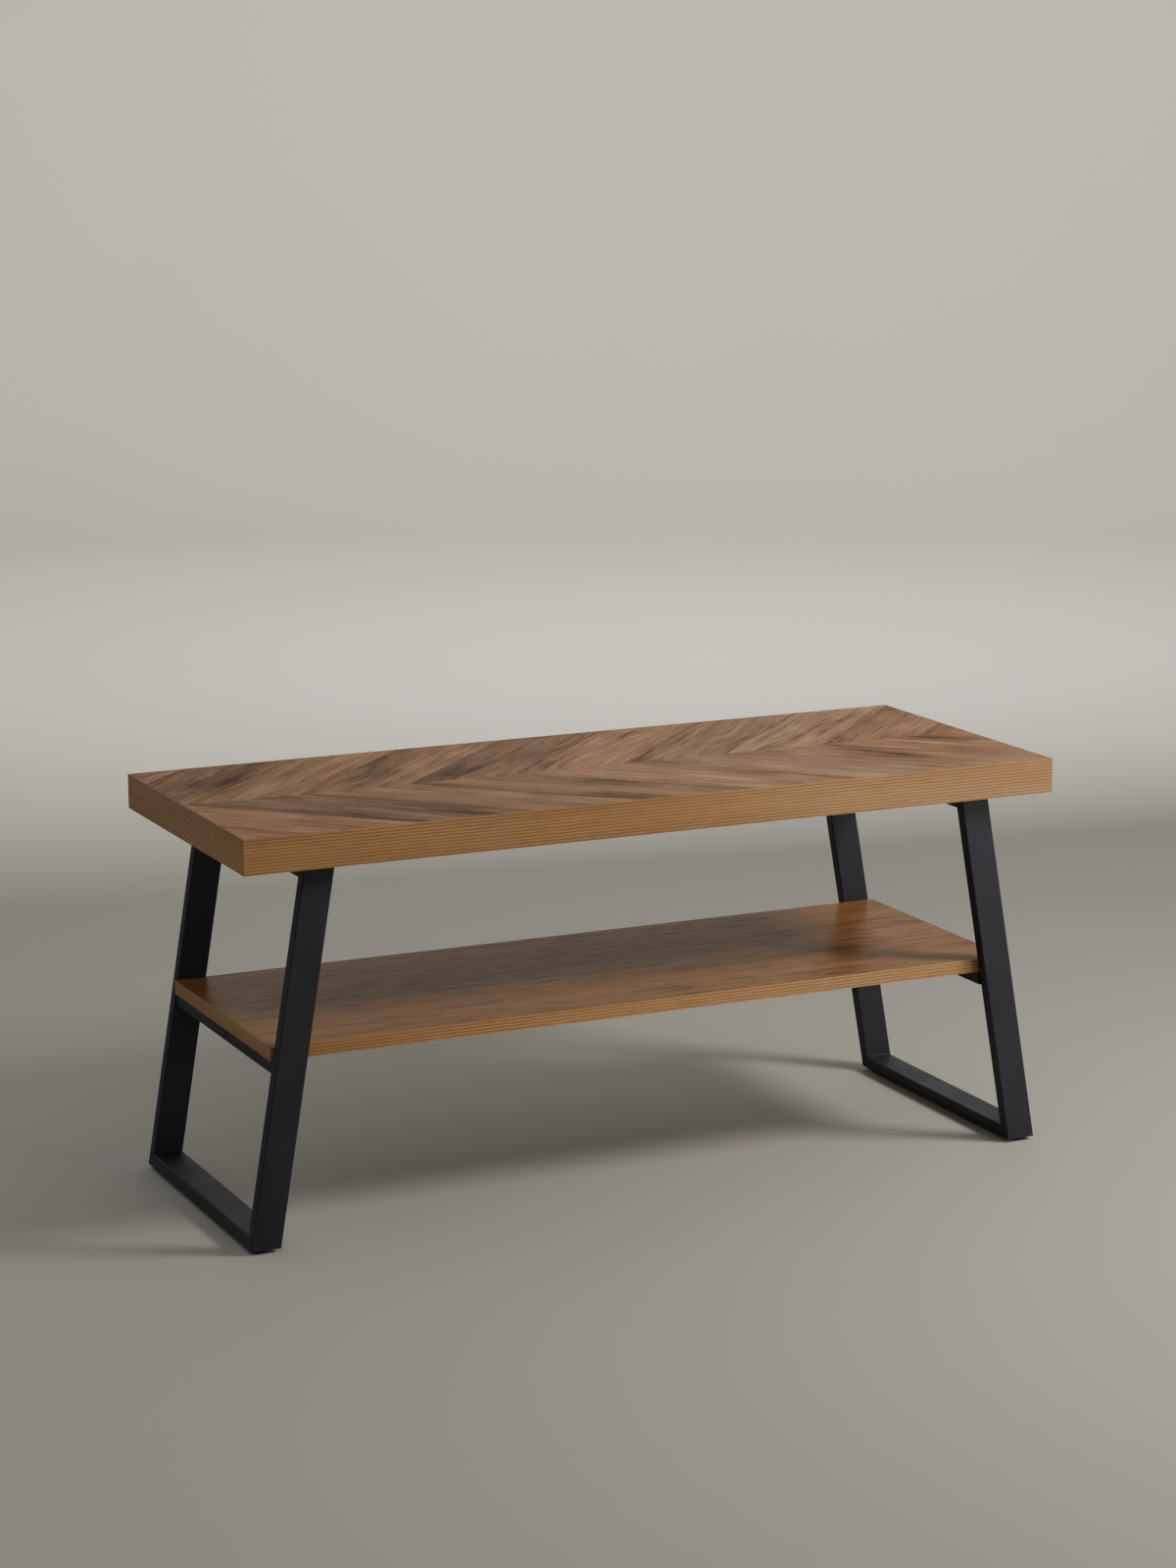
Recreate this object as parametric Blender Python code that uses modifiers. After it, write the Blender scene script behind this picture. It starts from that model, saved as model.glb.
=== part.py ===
"""Entryway bench: a thick chevron-faced top and a thin lower shelf on two leaning steel end frames.

The bench stands on the plane z = 0 with its length along X and its front towards -Y.
Left and right are the viewer's, seen from the front, so left is -X.
"""
import math

import bmesh
import bpy
from mathutils import Matrix, Vector

# Driving dimensions, in metres.
TOP_LENGTH = 1.000
TOP_DEPTH = 0.397
TOP_THICKNESS = 0.040
SEAT_HEIGHT = 0.468
SHELF_LENGTH = 0.925
SHELF_DEPTH = 0.3240
SHELF_THICKNESS = 0.016
SHELF_TOP = 0.227

# Sheets and edge bands glued to the boards.
FACE_SHEET = 0.0010
BACKING_SHEET = 0.0008
EDGE_BAND = 0.0010

# End frames: loops of flat steel tube that lean outwards towards the floor.
TUBE_WIDTH = 0.0355
TUBE_HEIGHT = 0.015
TUBE_WALL = 0.0012
TUBE_CORNER = 0.0015
FRAME_DEPTH = 0.3575
FRAME_BOTTOM = 0.0042
OUTER_EDGE_AT_TOP = 0.4246
OUTER_EDGE_AT_BOTTOM = 0.4962
BAR_SET_BACK = 0.0020
VENT_RADIUS = 0.0028
VENT_Y = -0.010

# Clearances between neighbours.
GAP = 0.0003
MITRE_GAP = 0.00045
DRILL_ALLOWANCE = 0.0010

# Button-head bolts through the top rails, with their washers and threaded inserts.
BOLT_RADIUS = 0.0030
BOLT_REACH = 0.0120
BOLT_SPREAD = 0.095
BOLT_HEAD_RADIUS = 0.0053
BOLT_CROWN_RADIUS = 0.0033
BOLT_SHOULDER_RADIUS = 0.0048
BOLT_SHOULDER_HEIGHT = 0.0009
BOLT_RIM_HEIGHT = 0.0020
BOLT_HEAD_HEIGHT = 0.0032
SOCKET_RADIUS = 0.0023
SOCKET_DEPTH = 0.0020
THREAD_CHAMFER = 0.0008
WASHER_RADIUS = 0.0065
WASHER_THICKNESS = 0.0012
INSERT_RADIUS = 0.0045
INSERT_LENGTH = 0.0130

# Pan-head screws through the shelf bars.
SCREW_RADIUS = 0.0020
SCREW_REACH = 0.0100
SCREW_POINT = 0.0030
SCREW_SPREAD = 0.110
SCREW_HEAD_RADIUS = 0.0041
SCREW_CROWN_RADIUS = 0.0029
SCREW_RIM_HEIGHT = 0.0010
SCREW_HEAD_HEIGHT = 0.0024
CROSS_SLOT_WIDTH = 0.0009
CROSS_SLOT_LENGTH = 0.0044

# Levelling feet: a pad on a stud that screws into a nut in the floor rail.
PAD_RADIUS = 0.0095
PAD_HEIGHT = 0.0026
PAD_CHAMFER = 0.0006
STUD_RADIUS = 0.0030
STUD_BASE = 0.0013
STUD_TOP = 0.0145
NUT_FLANGE_RADIUS = 0.0064
NUT_FLANGE_HEIGHT = 0.0009
NUT_BODY_RADIUS = 0.0043
NUT_TOP = 0.0133
FOOT_FROM_OUTER_EDGE = 0.0145
FOOT_FROM_FRONT = 0.0125

# Roundness, in sides around and steps over a corner, and when edges shade sharp or points merge.
SIDES = 20
CORNER_STEPS = 3
SHARP_ANGLE = math.radians(35)
MERGE_DISTANCE = 0.00001

COLLECTION = "entryway_bench"
TOP_UNDERSIDE = SEAT_HEIGHT - TOP_THICKNESS
FRAME_TOP = TOP_UNDERSIDE - GAP
SHELF_UNDERSIDE = SHELF_TOP - SHELF_THICKNESS
BAR_TOP = SHELF_UNDERSIDE - GAP
BAR_BOTTOM = BAR_TOP - TUBE_HEIGHT
BAR_MIDDLE = BAR_TOP - TUBE_HEIGHT / 2
INNER_FACE_Y = FRAME_DEPTH / 2 - TUBE_HEIGHT
LEAN = (OUTER_EDGE_AT_BOTTOM - OUTER_EDGE_AT_TOP) / (FRAME_TOP - FRAME_BOTTOM)

HANDS = {"left": -1, "right": 1}
ENDS = {"front": -1, "rear": 1}

FINISHES = {
    "laminate_chevron": ((0.165, 0.092, 0.052), 0.55, 0.0),
    "laminate_shelf": ((0.150, 0.078, 0.040), 0.50, 0.0),
    "edge_band_wood": ((0.270, 0.140, 0.062), 0.50, 0.0),
    "particleboard": ((0.420, 0.300, 0.180), 0.90, 0.0),
    "backing_paper": ((0.110, 0.070, 0.045), 0.80, 0.0),
    "powder_coat": ((0.012, 0.012, 0.015), 0.45, 0.2),
    "zinc_steel": ((0.560, 0.560, 0.540), 0.35, 1.0),
    "black_steel": ((0.030, 0.030, 0.032), 0.40, 0.9),
    "foot_plastic": ((0.016, 0.016, 0.017), 0.60, 0.0),
}


def clear_scene():
    for item in list(bpy.data.objects):
        bpy.data.objects.remove(item, do_unlink=True)


def make_collection(name):
    collection = bpy.data.collections.new(name)
    bpy.context.scene.collection.children.link(collection)
    return collection


def make_material(name, colour, roughness, metallic):
    material = bpy.data.materials.new(name)
    material.use_nodes = True
    shader = material.node_tree.nodes["Principled BSDF"]
    shader.inputs["Base Color"].default_value = (*colour, 1.0)
    shader.inputs["Roughness"].default_value = roughness
    shader.inputs["Metallic"].default_value = metallic
    material.diffuse_color = (*colour, 1.0)
    return material


def add_object(name, mesh, place, finish, collection):
    item = bpy.data.objects.new(name, mesh)
    item.location = place
    mesh.materials.append(bpy.data.materials[finish])
    collection.objects.link(item)
    return item


def mesh_from_bmesh(bm, name):
    bmesh.ops.recalc_face_normals(bm, faces=bm.faces)
    mesh = bpy.data.meshes.new(name)
    bm.to_mesh(mesh)
    bm.free()
    return mesh


def box_object(name, low, high, finish, collection):
    """Box between two corners, with its origin in the middle."""
    low = Vector(low)
    high = Vector(high)
    bm = bmesh.new()
    bmesh.ops.create_cube(bm, size=1.0, matrix=Matrix.Diagonal((*(high - low), 1.0)))
    return add_object(name, mesh_from_bmesh(bm, name), (low + high) / 2, finish, collection)


def turned_object(name, profile, place, finish, collection):
    """Turn a profile of (radius, height) points about the upright axis through place (x, y).

    The points run outwards, up and back inwards. A profile that starts and ends on the axis
    makes a solid, and any other one a ring.
    """
    mesh = bpy.data.meshes.new(name)
    edges = [(index, index + 1) for index in range(len(profile) - 1)]
    if profile[0][0] > 0:
        edges.append((len(profile) - 1, 0))
    mesh.from_pydata([(radius, 0.0, height) for radius, height in profile], edges, [])
    item = add_object(name, mesh, (*place, 0.0), finish, collection)
    turn = item.modifiers.new("turn", "SCREW")
    turn.steps = SIDES
    turn.render_steps = SIDES
    turn.use_normal_flip = True
    turn.use_smooth_shade = False
    turn.use_merge_vertices = True
    turn.merge_threshold = MERGE_DISTANCE
    return item


def add_rod(bm, radius, start, end):
    """Closed cylinder from start to end."""
    start = Vector(start)
    end = Vector(end)
    along = end - start
    turn = along.to_track_quat("Z", "Y").to_matrix().to_4x4()
    bmesh.ops.create_cone(bm, cap_ends=True, segments=SIDES, radius1=radius, radius2=radius,
                          depth=along.length, matrix=Matrix.Translation((start + end) / 2) @ turn)


def cut(target, cutter_bm, cutters):
    """Take the closed shapes of cutter_bm out of target with an exact Boolean."""
    name = target.name + "_cutter"
    cutter = bpy.data.objects.new(name, mesh_from_bmesh(cutter_bm, name))
    cutters.objects.link(cutter)
    cutter.hide_render = True
    cutter.display_type = "WIRE"
    modifier = target.modifiers.new("cut", "BOOLEAN")
    modifier.operation = "DIFFERENCE"
    modifier.solver = "EXACT"
    modifier.object = cutter


def cut_round_holes(target, radius, centres, low, high, cutters):
    """Upright holes at each (x, y), from height low to height high."""
    bm = bmesh.new()
    for x, y in centres:
        add_rod(bm, radius, (x, y, low), (x, y, high))
    cut(target, bm, cutters)


def outer_edge(z):
    """Distance of an end frame's outer edge from the middle of the bench at height z."""
    return OUTER_EDGE_AT_BOTTOM - LEAN * (z - FRAME_BOTTOM)


def tube_centre(z):
    return outer_edge(z) - TUBE_WIDTH / 2


def bar_centre():
    """The shelf bar's sides are upright, a little inside the posts' outer edges."""
    return tube_centre(BAR_MIDDLE) - BAR_SET_BACK


def board(name, face, length, depth, top, thickness, collection):
    """Core with a face sheet, a backing sheet and four edge bands. Returns the core and backing."""
    inset = EDGE_BAND + GAP
    half_x = length / 2 - inset
    half_y = depth / 2 - inset
    bottom = top - thickness
    layers = {
        "core": (bottom + BACKING_SHEET + GAP, top - FACE_SHEET - GAP, "particleboard"),
        "backing_sheet": (bottom, bottom + BACKING_SHEET, "backing_paper"),
        face: (top - FACE_SHEET, top, "laminate_chevron" if name == "top" else "laminate_shelf"),
    }
    made = {}
    for layer, (low, high, finish) in layers.items():
        made[layer] = box_object(f"{name}_{layer}", (-half_x, -half_y, low), (half_x, half_y, high),
                                 finish, collection)
    for end, sign in ENDS.items():
        near = sign * depth / 2
        far = near - sign * EDGE_BAND
        box_object(f"{name}_edge_band_{end}", (-length / 2, min(near, far), bottom),
                   (length / 2, max(near, far), top), "edge_band_wood", collection)
    for hand, sign in HANDS.items():
        near = sign * length / 2
        far = near - sign * EDGE_BAND
        box_object(f"{name}_edge_band_{hand}", (min(near, far), -half_y, bottom),
                   (max(near, far), half_y, top), "edge_band_wood", collection)
    return made["core"], made["backing_sheet"]


def tube_mesh(length, mitred):
    """Flat tube along local Z. A mitred one is shorter on its local +Y side, inside the loop."""
    bm = bmesh.new()
    bmesh.ops.create_cube(bm, size=1.0,
                          matrix=Matrix.Diagonal((TUBE_WIDTH, TUBE_HEIGHT, length, 1.0)))
    ends = [face for face in bm.faces if abs(face.normal.z) > 0.5]
    bmesh.ops.delete(bm, geom=ends, context="FACES_ONLY")
    long_edges = [edge for edge in bm.edges if edge.calc_length() > length / 2]
    bmesh.ops.bevel(bm, geom=long_edges, offset=TUBE_CORNER, segments=CORNER_STEPS, profile=0.5,
                    affect="EDGES")
    sleeve = bpy.data.objects.new("sleeve", mesh_from_bmesh(bm, "sleeve"))
    bpy.context.scene.collection.objects.link(sleeve)
    wall = sleeve.modifiers.new("wall", "SOLIDIFY")
    wall.thickness = TUBE_WALL
    wall.offset = -1.0
    wall.use_even_offset = True
    bpy.context.view_layer.update()
    depsgraph = bpy.context.evaluated_depsgraph_get()
    tube = bpy.data.meshes.new_from_object(sleeve.evaluated_get(depsgraph))
    bpy.data.objects.remove(sleeve, do_unlink=True)
    if mitred:
        for vertex in tube.vertices:
            shortened = vertex.co.y + TUBE_HEIGHT / 2 + MITRE_GAP / 2
            vertex.co.z = math.copysign(length / 2 - shortened, vertex.co.z)
    return tube


def place_tube(name, tube, quarter_turns, centre, x_at, collection):
    """Turn a tube about X by quarter turns, put it at (y, z) and let its x follow its height."""
    tube.transform(Matrix.Rotation(quarter_turns * math.pi / 2, 4, "X"))
    middle_x = x_at(centre[1])
    for vertex in tube.vertices:
        vertex.co.x += x_at(centre[1] + vertex.co.z) - middle_x
    tube.update()
    tube.materials.clear()
    tube.shade_smooth()
    tube.set_sharp_from_angle(angle=SHARP_ANGLE)
    return add_object(name, tube, (middle_x, *centre), "powder_coat", collection)


def foot_places(side):
    x = side * (OUTER_EDGE_AT_BOTTOM - FOOT_FROM_OUTER_EDGE)
    y = FRAME_DEPTH / 2 - FOOT_FROM_FRONT
    return {end: (x, sign * y) for end, sign in ENDS.items()}


def bolt_places(side):
    return {end: (side * tube_centre(FRAME_TOP), sign * BOLT_SPREAD) for end, sign in ENDS.items()}


def screw_places(side):
    return {end: (side * bar_centre(), sign * SCREW_SPREAD) for end, sign in ENDS.items()}


def end_frame(hand, side, collection, cutters):
    """Loop of four mitred tubes that lean together, with a straight bar across for the shelf."""
    middle_z = (FRAME_TOP + FRAME_BOTTOM) / 2
    post_y = (FRAME_DEPTH - TUBE_HEIGHT) / 2
    height = FRAME_TOP - FRAME_BOTTOM
    half_tube = TUBE_HEIGHT / 2
    loop = {
        "front_post": (height, 0, (-post_y, middle_z)),
        "floor_rail": (FRAME_DEPTH, 1, (0.0, FRAME_BOTTOM + half_tube)),
        "rear_post": (height, 2, (post_y, middle_z)),
        "top_rail": (FRAME_DEPTH, 3, (0.0, FRAME_TOP - half_tube)),
    }
    tubes = {}
    for part, (length, turns, centre) in loop.items():
        tubes[part] = place_tube(f"{hand}_{part}", tube_mesh(length, True), turns, centre,
                                 lambda z: side * tube_centre(z), collection)
    bar = place_tube(f"{hand}_shelf_bar", tube_mesh(2 * (INNER_FACE_Y - GAP), False), 1,
                     (0.0, BAR_MIDDLE), lambda z: side * bar_centre(), collection)

    cut_round_holes(tubes["top_rail"], BOLT_RADIUS + 2 * GAP, bolt_places(side).values(),
                    FRAME_TOP - 2 * TUBE_HEIGHT, FRAME_TOP + TUBE_HEIGHT, cutters)
    cut_round_holes(tubes["floor_rail"], NUT_BODY_RADIUS + GAP, foot_places(side).values(),
                    FRAME_BOTTOM - half_tube, FRAME_BOTTOM + half_tube, cutters)

    bm = bmesh.new()
    for x, y in screw_places(side).values():
        add_rod(bm, SCREW_RADIUS + GAP, (x, y, BAR_BOTTOM - half_tube), (x, y, BAR_TOP + half_tube))
    outer_face = bar_centre() + TUBE_WIDTH / 2
    inside = side * (outer_face - half_tube)
    outside = side * (outer_face + half_tube)
    add_rod(bm, VENT_RADIUS, (inside, VENT_Y, BAR_MIDDLE), (outside, VENT_Y, BAR_MIDDLE))
    cut(bar, bm, cutters)


def top_fastener(name, place, collection):
    """Button-head bolt with its washer, up through the top rail into a threaded insert."""
    washer_top = FRAME_TOP - TUBE_HEIGHT - GAP
    washer_bottom = washer_top - WASHER_THICKNESS
    head_top = washer_bottom - GAP
    head_bottom = head_top - BOLT_HEAD_HEIGHT
    tip = TOP_UNDERSIDE + BOLT_REACH
    socket_top = head_bottom + SOCKET_DEPTH
    bolt = [
        (0.0, socket_top), (SOCKET_RADIUS, socket_top), (SOCKET_RADIUS, head_bottom),
        (BOLT_CROWN_RADIUS, head_bottom), (BOLT_SHOULDER_RADIUS, head_bottom + BOLT_SHOULDER_HEIGHT),
        (BOLT_HEAD_RADIUS, head_bottom + BOLT_RIM_HEIGHT), (BOLT_HEAD_RADIUS, head_top),
        (BOLT_RADIUS, head_top), (BOLT_RADIUS, tip - THREAD_CHAMFER),
        (BOLT_RADIUS - THREAD_CHAMFER, tip), (0.0, tip),
    ]
    turned_object(f"{name}_top_bolt", bolt, place, "black_steel", collection)
    bore = BOLT_RADIUS + GAP
    washer = [(bore, washer_bottom), (WASHER_RADIUS, washer_bottom), (WASHER_RADIUS, washer_top),
              (bore, washer_top)]
    turned_object(f"{name}_top_washer", washer, place, "zinc_steel", collection)
    insert_bottom = TOP_UNDERSIDE + BACKING_SHEET
    insert = [(bore, insert_bottom), (INSERT_RADIUS, insert_bottom),
              (INSERT_RADIUS, insert_bottom + INSERT_LENGTH), (bore, insert_bottom + INSERT_LENGTH)]
    turned_object(f"{name}_top_insert", insert, place, "zinc_steel", collection)


def shelf_screw(name, place, collection, cutters):
    """Pan-head screw with a cross slot, up through the shelf bar into the shelf."""
    x, y = place
    head_top = BAR_BOTTOM - GAP
    head_bottom = head_top - SCREW_HEAD_HEIGHT
    tip = SHELF_UNDERSIDE + SCREW_REACH
    profile = [
        (0.0, head_bottom), (SCREW_CROWN_RADIUS, head_bottom),
        (SCREW_HEAD_RADIUS, head_bottom + SCREW_RIM_HEIGHT), (SCREW_HEAD_RADIUS, head_top),
        (SCREW_RADIUS, head_top), (SCREW_RADIUS, tip - SCREW_POINT), (0.0, tip),
    ]
    screw = turned_object(f"{name}_shelf_screw", profile, place, "black_steel", collection)
    half_length = CROSS_SLOT_LENGTH / 2
    half_width = CROSS_SLOT_WIDTH / 2
    for half_x, half_y in ((half_length, half_width), (half_width, half_length)):
        bm = bmesh.new()
        size = Matrix.Diagonal((2 * half_x, 2 * half_y, SCREW_HEAD_HEIGHT, 1.0))
        bmesh.ops.create_cube(bm, size=1.0, matrix=Matrix.Translation((x, y, head_bottom)) @ size)
        cut(screw, bm, cutters)


def levelling_foot(name, place, collection):
    """Plastic pad, threaded stud and rivet nut at one corner of an end frame."""
    bore = STUD_RADIUS + GAP
    seat = STUD_BASE - GAP
    pad = [
        (0.0, 0.0), (PAD_RADIUS - PAD_CHAMFER, 0.0), (PAD_RADIUS, PAD_CHAMFER),
        (PAD_RADIUS, PAD_HEIGHT - PAD_CHAMFER), (PAD_RADIUS - PAD_CHAMFER, PAD_HEIGHT),
        (bore, PAD_HEIGHT), (bore, seat), (0.0, seat),
    ]
    turned_object(f"{name}_foot_pad", pad, place, "foot_plastic", collection)
    stud = [(0.0, STUD_BASE), (STUD_RADIUS, STUD_BASE), (STUD_RADIUS, STUD_TOP - THREAD_CHAMFER),
            (STUD_RADIUS - THREAD_CHAMFER, STUD_TOP), (0.0, STUD_TOP)]
    turned_object(f"{name}_foot_stud", stud, place, "zinc_steel", collection)
    flange_top = FRAME_BOTTOM - GAP
    flange_bottom = flange_top - NUT_FLANGE_HEIGHT
    nut = [(bore, flange_bottom), (NUT_FLANGE_RADIUS, flange_bottom), (NUT_FLANGE_RADIUS, flange_top),
           (NUT_BODY_RADIUS, flange_top), (NUT_BODY_RADIUS, NUT_TOP), (bore, NUT_TOP)]
    turned_object(f"{name}_foot_nut", nut, place, "zinc_steel", collection)


def drill_boards(top_core, top_backing, shelf_core, shelf_backing, cutters):
    """Blind holes for the inserts and screws, with a clear hole in each backing sheet."""
    inserts = []
    screws = []
    for side in HANDS.values():
        inserts += bolt_places(side).values()
        screws += screw_places(side).values()
    insert_hole = INSERT_RADIUS + GAP
    insert_end = TOP_UNDERSIDE + BACKING_SHEET + INSERT_LENGTH + DRILL_ALLOWANCE
    cut_round_holes(top_core, insert_hole, inserts, TOP_UNDERSIDE, insert_end, cutters)
    cut_round_holes(top_backing, insert_hole, inserts, TOP_UNDERSIDE - BACKING_SHEET,
                    TOP_UNDERSIDE + 2 * BACKING_SHEET, cutters)
    screw_hole = SCREW_RADIUS + GAP
    screw_end = SHELF_UNDERSIDE + SCREW_REACH + DRILL_ALLOWANCE
    cut_round_holes(shelf_core, screw_hole, screws, SHELF_UNDERSIDE, screw_end, cutters)
    cut_round_holes(shelf_backing, screw_hole, screws, SHELF_UNDERSIDE - BACKING_SHEET,
                    SHELF_UNDERSIDE + 2 * BACKING_SHEET, cutters)


def build():
    clear_scene()
    bench = make_collection(COLLECTION)
    cutters = make_collection(COLLECTION + "_cutters")
    for name, (colour, roughness, metallic) in FINISHES.items():
        make_material(name, colour, roughness, metallic)
    top_core, top_backing = board("top", "chevron_face", TOP_LENGTH, TOP_DEPTH, SEAT_HEIGHT,
                                  TOP_THICKNESS, bench)
    shelf_core, shelf_backing = board("shelf", "woodgrain_face", SHELF_LENGTH, SHELF_DEPTH,
                                      SHELF_TOP, SHELF_THICKNESS, bench)
    drill_boards(top_core, top_backing, shelf_core, shelf_backing, cutters)
    for hand, side in HANDS.items():
        end_frame(hand, side, bench, cutters)
        for end, place in bolt_places(side).items():
            top_fastener(f"{end}_{hand}", place, bench)
        for end, place in screw_places(side).items():
            shelf_screw(f"{end}_{hand}", place, bench, cutters)
        for end, place in foot_places(side).items():
            levelling_foot(f"{end}_{hand}", place, bench)


build()
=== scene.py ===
"""The looks of the entryway bench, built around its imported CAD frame.

Lengths are in metres in the frame's own axes: X along the bench, -Y towards the front, +Z up.
Colours are linear RGB.
"""
import math
import random

import bmesh
import bpy
from mathutils import Matrix, Vector


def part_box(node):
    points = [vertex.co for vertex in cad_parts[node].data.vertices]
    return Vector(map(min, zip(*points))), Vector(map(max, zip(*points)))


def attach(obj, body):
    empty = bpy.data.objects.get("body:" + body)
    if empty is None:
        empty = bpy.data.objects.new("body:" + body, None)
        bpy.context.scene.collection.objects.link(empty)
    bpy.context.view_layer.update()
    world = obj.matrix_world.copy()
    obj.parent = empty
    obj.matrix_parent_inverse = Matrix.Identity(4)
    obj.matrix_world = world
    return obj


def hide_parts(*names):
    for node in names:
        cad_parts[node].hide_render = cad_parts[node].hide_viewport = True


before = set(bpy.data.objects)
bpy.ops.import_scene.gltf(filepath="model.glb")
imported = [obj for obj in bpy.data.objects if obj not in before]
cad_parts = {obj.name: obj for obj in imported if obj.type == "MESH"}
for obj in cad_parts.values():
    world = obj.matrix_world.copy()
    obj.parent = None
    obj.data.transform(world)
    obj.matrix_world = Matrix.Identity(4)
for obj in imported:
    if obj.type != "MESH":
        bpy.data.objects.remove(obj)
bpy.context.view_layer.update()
BODY = "bench"

HANDS = {"left": -1, "right": 1}
ENDS = {"front": -1, "rear": 1}

# Chevron pattern of the top: boards at 45 degrees that meet on a spine along X. Board 0 starts at
# CHEVRON_START on the spine, and each next board one pitch further.
CHEVRON_PITCH = 0.1335
CHEVRON_START = -0.495
CHEVRON_TURN = math.radians(45)
BOARD_WIDTH = CHEVRON_PITCH * math.sin(CHEVRON_TURN)
FIRST_BOARD = -2
LAST_BOARD = 7
GROOVE_WIDTH = 0.0005
GROOVE_DEPTH = 0.00015

# Printed shading of a board: its dark rim, and the darker strip beside its joint that fades out.
PRINTED_EDGE = 0.0030
FADE_WIDTH = 0.035

# Tone of each chevron board, numbered from the left end: (lightness, warmth, dark streaks).
REAR_BOARDS = {
    -2: (0.94, 0.5, 0.5), -1: (0.87, 0.6, 0.8), 0: (0.98, 0.7, 0.5), 1: (0.96, 0.5, 0.6),
    2: (0.86, 0.3, 0.9), 3: (1.10, 0.6, 0.2), 4: (0.97, 0.2, 0.4), 5: (1.18, 0.3, 0.2),
    6: (0.96, 0.8, 0.5), 7: (0.94, 1.0, 0.6),
}
FRONT_BOARDS = {
    -2: (0.98, 0.9, 0.3), -1: (1.03, 0.9, 0.2), 0: (0.78, 0.3, 1.0), 1: (0.96, 0.5, 0.6),
    2: (0.89, 0.4, 0.7), 3: (1.08, 0.6, 0.2), 4: (1.06, 0.2, 0.4), 5: (1.06, 0.5, 1.0),
    6: (1.00, 0.9, 0.7), 7: (1.02, 1.0, 0.5),
}

# Dark knots: how far along its board and from its joint each one lies, and how strong it is. Their
# size is half a knot's length and half its width.
REAR_KNOTS = {
    -1: (0.222, 0.078, 0.8), 1: (0.118, 0.030, 0.7), 2: (0.090, 0.030, 0.7), 4: (0.200, 0.080, 0.3),
    6: (0.030, 0.060, 0.4),
}
FRONT_KNOTS = {
    -1: (0.290, 0.066, 0.3), 0: (0.275, 0.062, 0.8), 2: (0.235, 0.018, 0.5), 4: (0.060, 0.030, 0.3),
    5: (0.200, 0.055, 1.0), 6: (0.130, 0.080, 0.8),
}
KNOT_SIZE = (0.065, 0.015)
NO_KNOT = (0.0, 0.0, 0.0)

# Dark streak of the shelf's print: its middle in X and Y, then half its length and half its width.
SHELF_STREAK = (0.14, 0.050)
SHELF_STREAK_SIZE = (0.130, 0.010)

# Spacing of the growth rings of the chevron boards, and of the dark lines of the edge bands.
RING_PITCH = 0.0040
BAND_LINE_PITCH = 0.0036

# Wood colours: dark, middle and light.
CHEVRON_WOOD = ((0.106, 0.059, 0.037), (0.232, 0.134, 0.080), (0.338, 0.207, 0.131))
SHELF_WOOD = ((0.080, 0.034, 0.012), (0.206, 0.092, 0.031), (0.274, 0.129, 0.046))
BAND_WOOD = ((0.128, 0.056, 0.020), (0.310, 0.156, 0.059), (0.410, 0.220, 0.092))

# Tints that multiply a wood colour.
REDDISH = (1.05, 0.99, 0.99)
YELLOWISH = (0.99, 1.02, 0.93)
COOL = (0.96, 1.0, 1.05)
WARM = (1.08, 0.96, 0.86)
FLAME_TINT = (0.42, 0.38, 0.42)
KNOT_TINT = (0.20, 0.16, 0.17)
PORE_TINT = (0.58, 0.54, 0.52)
SHELF_MARK_TINT = (0.42, 0.38, 0.38)

# Other colours. Where there are two, the finish wanders between them.
POWDER_COAT = ((0.0110, 0.0108, 0.0160), (0.0165, 0.0160, 0.0235))
POWDER_GRIT = (0.034, 0.033, 0.044)
WOOD_CHIPS = ((0.26, 0.17, 0.09), (0.52, 0.38, 0.23))
BACKING_PAPER = ((0.105, 0.062, 0.036), (0.145, 0.088, 0.052))
BACKING_FLECK = (0.06, 0.035, 0.02)
NYLON = ((0.010, 0.010, 0.011), (0.020, 0.020, 0.021))
ZINC = ((0.55, 0.56, 0.56), (0.42, 0.42, 0.40))
BLACK_OXIDE = ((0.035, 0.035, 0.037), (0.06, 0.06, 0.06))

# Which finish each CAD node takes, by the end of its name.
FINISH_BY_ENDING = {
    "_post": "powder", "_rail": "powder", "_shelf_bar": "powder", "_core": "chips",
    "_backing_sheet": "backing", "_woodgrain_face": "shelf", "_top_bolt": "black",
    "_shelf_screw": "black", "_top_washer": "zinc", "_top_insert": "zinc", "_foot_nut": "zinc",
    "_foot_stud": "zinc", "_foot_pad": "plastic", "_chevron_face": "chevron",
    "_band_front": "band_x", "_band_rear": "band_x", "_band_left": "band_y", "_band_right": "band_y",
}

# Fine rounding of the boards' edges.
EDGE_ROUND = 0.00035
EDGE_SEGMENTS = 3

# Flat tube of the end frames, as the CAD has it.
TUBE_WIDTH = 0.0355
TUBE_HEIGHT = 0.015
TUBE_CORNER = 0.0015

# Weld beads: radius, distance between rings, how far their middle stands off the corner of two
# tubes, and how far they stop short of the tubes' sides.
BEAD_RADIUS = 0.0016
BEAD_STEP = 0.0012
BEAD_SIDES = 10
BEAD_LIFT = 0.55 * BEAD_RADIUS
BEAD_END_GAP = 1.2 * TUBE_CORNER
WELD_SHARP_ANGLE = math.radians(50)

# Shares of a bead's radius: at its tips, how fast it grows from there, and its even and uneven ripple.
BEAD_TIP = 0.45
BEAD_TAPER = 6.0
BEAD_RIPPLE = 0.10
BEAD_SPREAD = 0.05

# Filler in the mitres: how thick it is, and how much smaller than the tube's outline.
SEAM_THICKNESS = 0.0003
SEAM_INSET = 0.00008

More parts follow.
